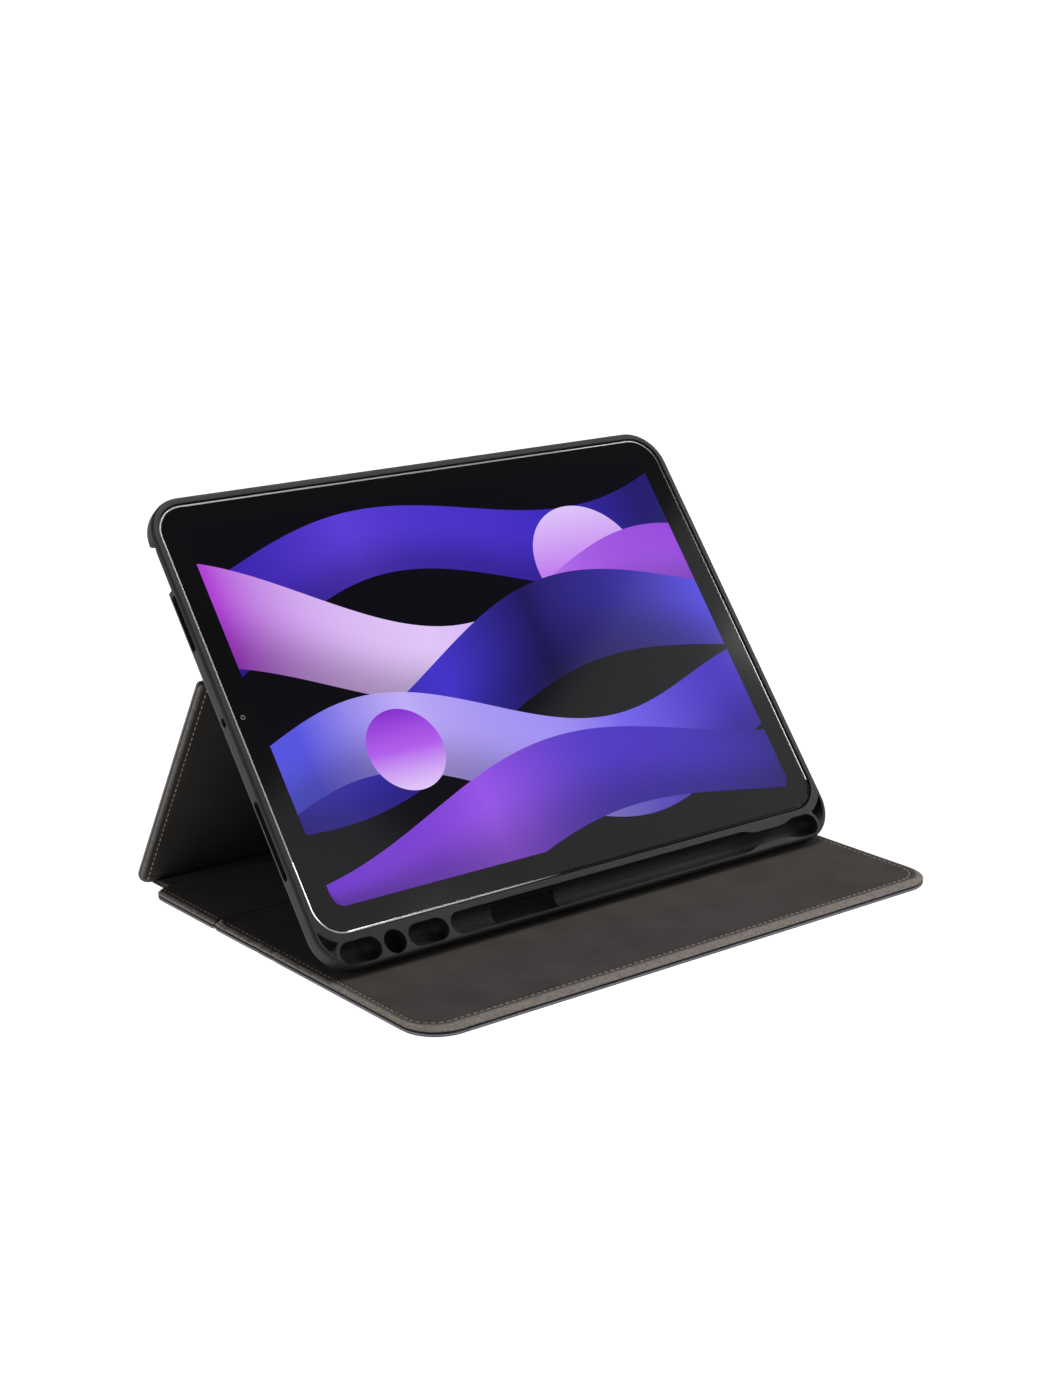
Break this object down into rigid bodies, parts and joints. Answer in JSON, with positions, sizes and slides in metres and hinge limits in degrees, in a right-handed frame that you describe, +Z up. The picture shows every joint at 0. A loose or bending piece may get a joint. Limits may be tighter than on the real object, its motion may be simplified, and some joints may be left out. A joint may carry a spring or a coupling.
{
  "type": "tablet folio case",
  "caption": "Folding tablet case propped as a stand: moulded shell with a stylus rail, hinged cover of padded panels and a tablet in the tray.",
  "frame": {"origin": "middle of the front cover section's underside, on the table", "axes": "+X along the screen to its right, +Y to the rear, +Z up; the screen faces -Y and leans back"},
  "size_m": [0.2538, 0.2015, 0.1602],
  "materials": {
    "cover_skin": "fine-grained, matt, blue-grey black",
    "cover_lining": "brushed microfibre, matt, warm dark grey",
    "stiffener": "plain fibreboard",
    "magnet": "nickel plated",
    "bonding_tape": "foam tape",
    "shell_rubber": "soft matt charcoal",
    "tablet_metal": "bead-blasted grey",
    "screen_glass": "polished black",
    "display": null,
    "lens": "polished dark glass",
    "battery": "foil pouch",
    "mesh": "fine black mesh"
  },
  "bodies": {
    "front_section": {"front_skin": "cover_skin", "front_board": "stiffener", "front_lining": "cover_lining", "seat_magnets": "magnet", "closing_magnets": "magnet"},
    "rear_section": {"rear_skin": "cover_skin", "rear_board": "stiffener", "rear_lining": "cover_lining", "spine_strip": "cover_skin"},
    "support": {"support_skin": "cover_skin", "support_board": "stiffener", "support_lining": "cover_lining"},
    "shell": {"back_strip": "cover_skin", "back_skin": "cover_skin", "back_board": "stiffener", "back_tape": "bonding_tape", "shell": "shell_rubber", "edge_magnets": "magnet"},
    "volume_up": {"volume_up_cover": "shell_rubber"},
    "volume_down": {"volume_down_cover": "shell_rubber"},
    "tablet": {"tablet_housing": "tablet_metal", "cover_glass": "screen_glass", "display_panel": "display", "front_camera": "lens", "rear_camera_ring": "tablet_metal", "rear_camera_lens": "lens", "battery_cells": "battery", "speaker_meshes": "mesh", "charging_port": "tablet_metal"},
    "power": {"power_button": "tablet_metal"},
    "tablet_volume_up": {"volume_up_key": "tablet_metal"},
    "tablet_volume_down": {"volume_down_key": "tablet_metal"}
  },
  "joints": [
    {"name": "cover_crease", "type": "hinge", "parent": "front_section", "child": "rear_section", "pos_m": [0, 0.06975, 0], "axis": [1, 0, 0], "range_deg": [-90, 0]},
    {"name": "spine_fold", "type": "hinge", "parent": "rear_section", "child": "support", "pos_m": [0, 0.13115, 0.0009], "axis": [1, 0, 0], "range_deg": [-121.07, 0]},
    {"name": "back_fold", "type": "hinge", "parent": "support", "child": "shell", "pos_m": [0, 0.07381, 0.09781], "axis": [1, 0, 0], "range_deg": [0, 69.1]},
    {"name": "tablet_lift", "type": "slide", "parent": "shell", "child": "tablet", "axis": [0, -0.7888, 0.6146], "range_m": [0, 0.03]},
    {"name": "volume_up_press", "type": "slide", "parent": "shell", "child": "volume_up", "axis": [0, -0.6146, -0.7888], "range_m": [0, 0.0002], "stiffness_N_per_m": 400},
    {"name": "volume_down_press", "type": "slide", "parent": "shell", "child": "volume_down", "axis": [0, -0.6146, -0.7888], "range_m": [0, 0.0002], "stiffness_N_per_m": 400},
    {"name": "power_press", "type": "slide", "parent": "tablet", "child": "power", "axis": [1, 0, 0], "range_m": [0, 0.0003], "stiffness_N_per_m": 400},
    {"name": "volume_up_key_press", "type": "slide", "parent": "tablet", "child": "tablet_volume_up", "axis": [0, -0.6146, -0.7888], "range_m": [0, 0.0002]},
    {"name": "volume_down_key_press", "type": "slide", "parent": "tablet", "child": "tablet_volume_down", "axis": [0, -0.6146, -0.7888], "range_m": [0, 0.0002]}
  ],
  "couplings": [
    {"joint": "back_fold", "follows": "spine_fold", "ratio": -0.56988},
    {"joint": "volume_up_key_press", "follows": "volume_up_press", "ratio": 1},
    {"joint": "volume_down_key_press", "follows": "volume_down_press", "ratio": 1}
  ]
}
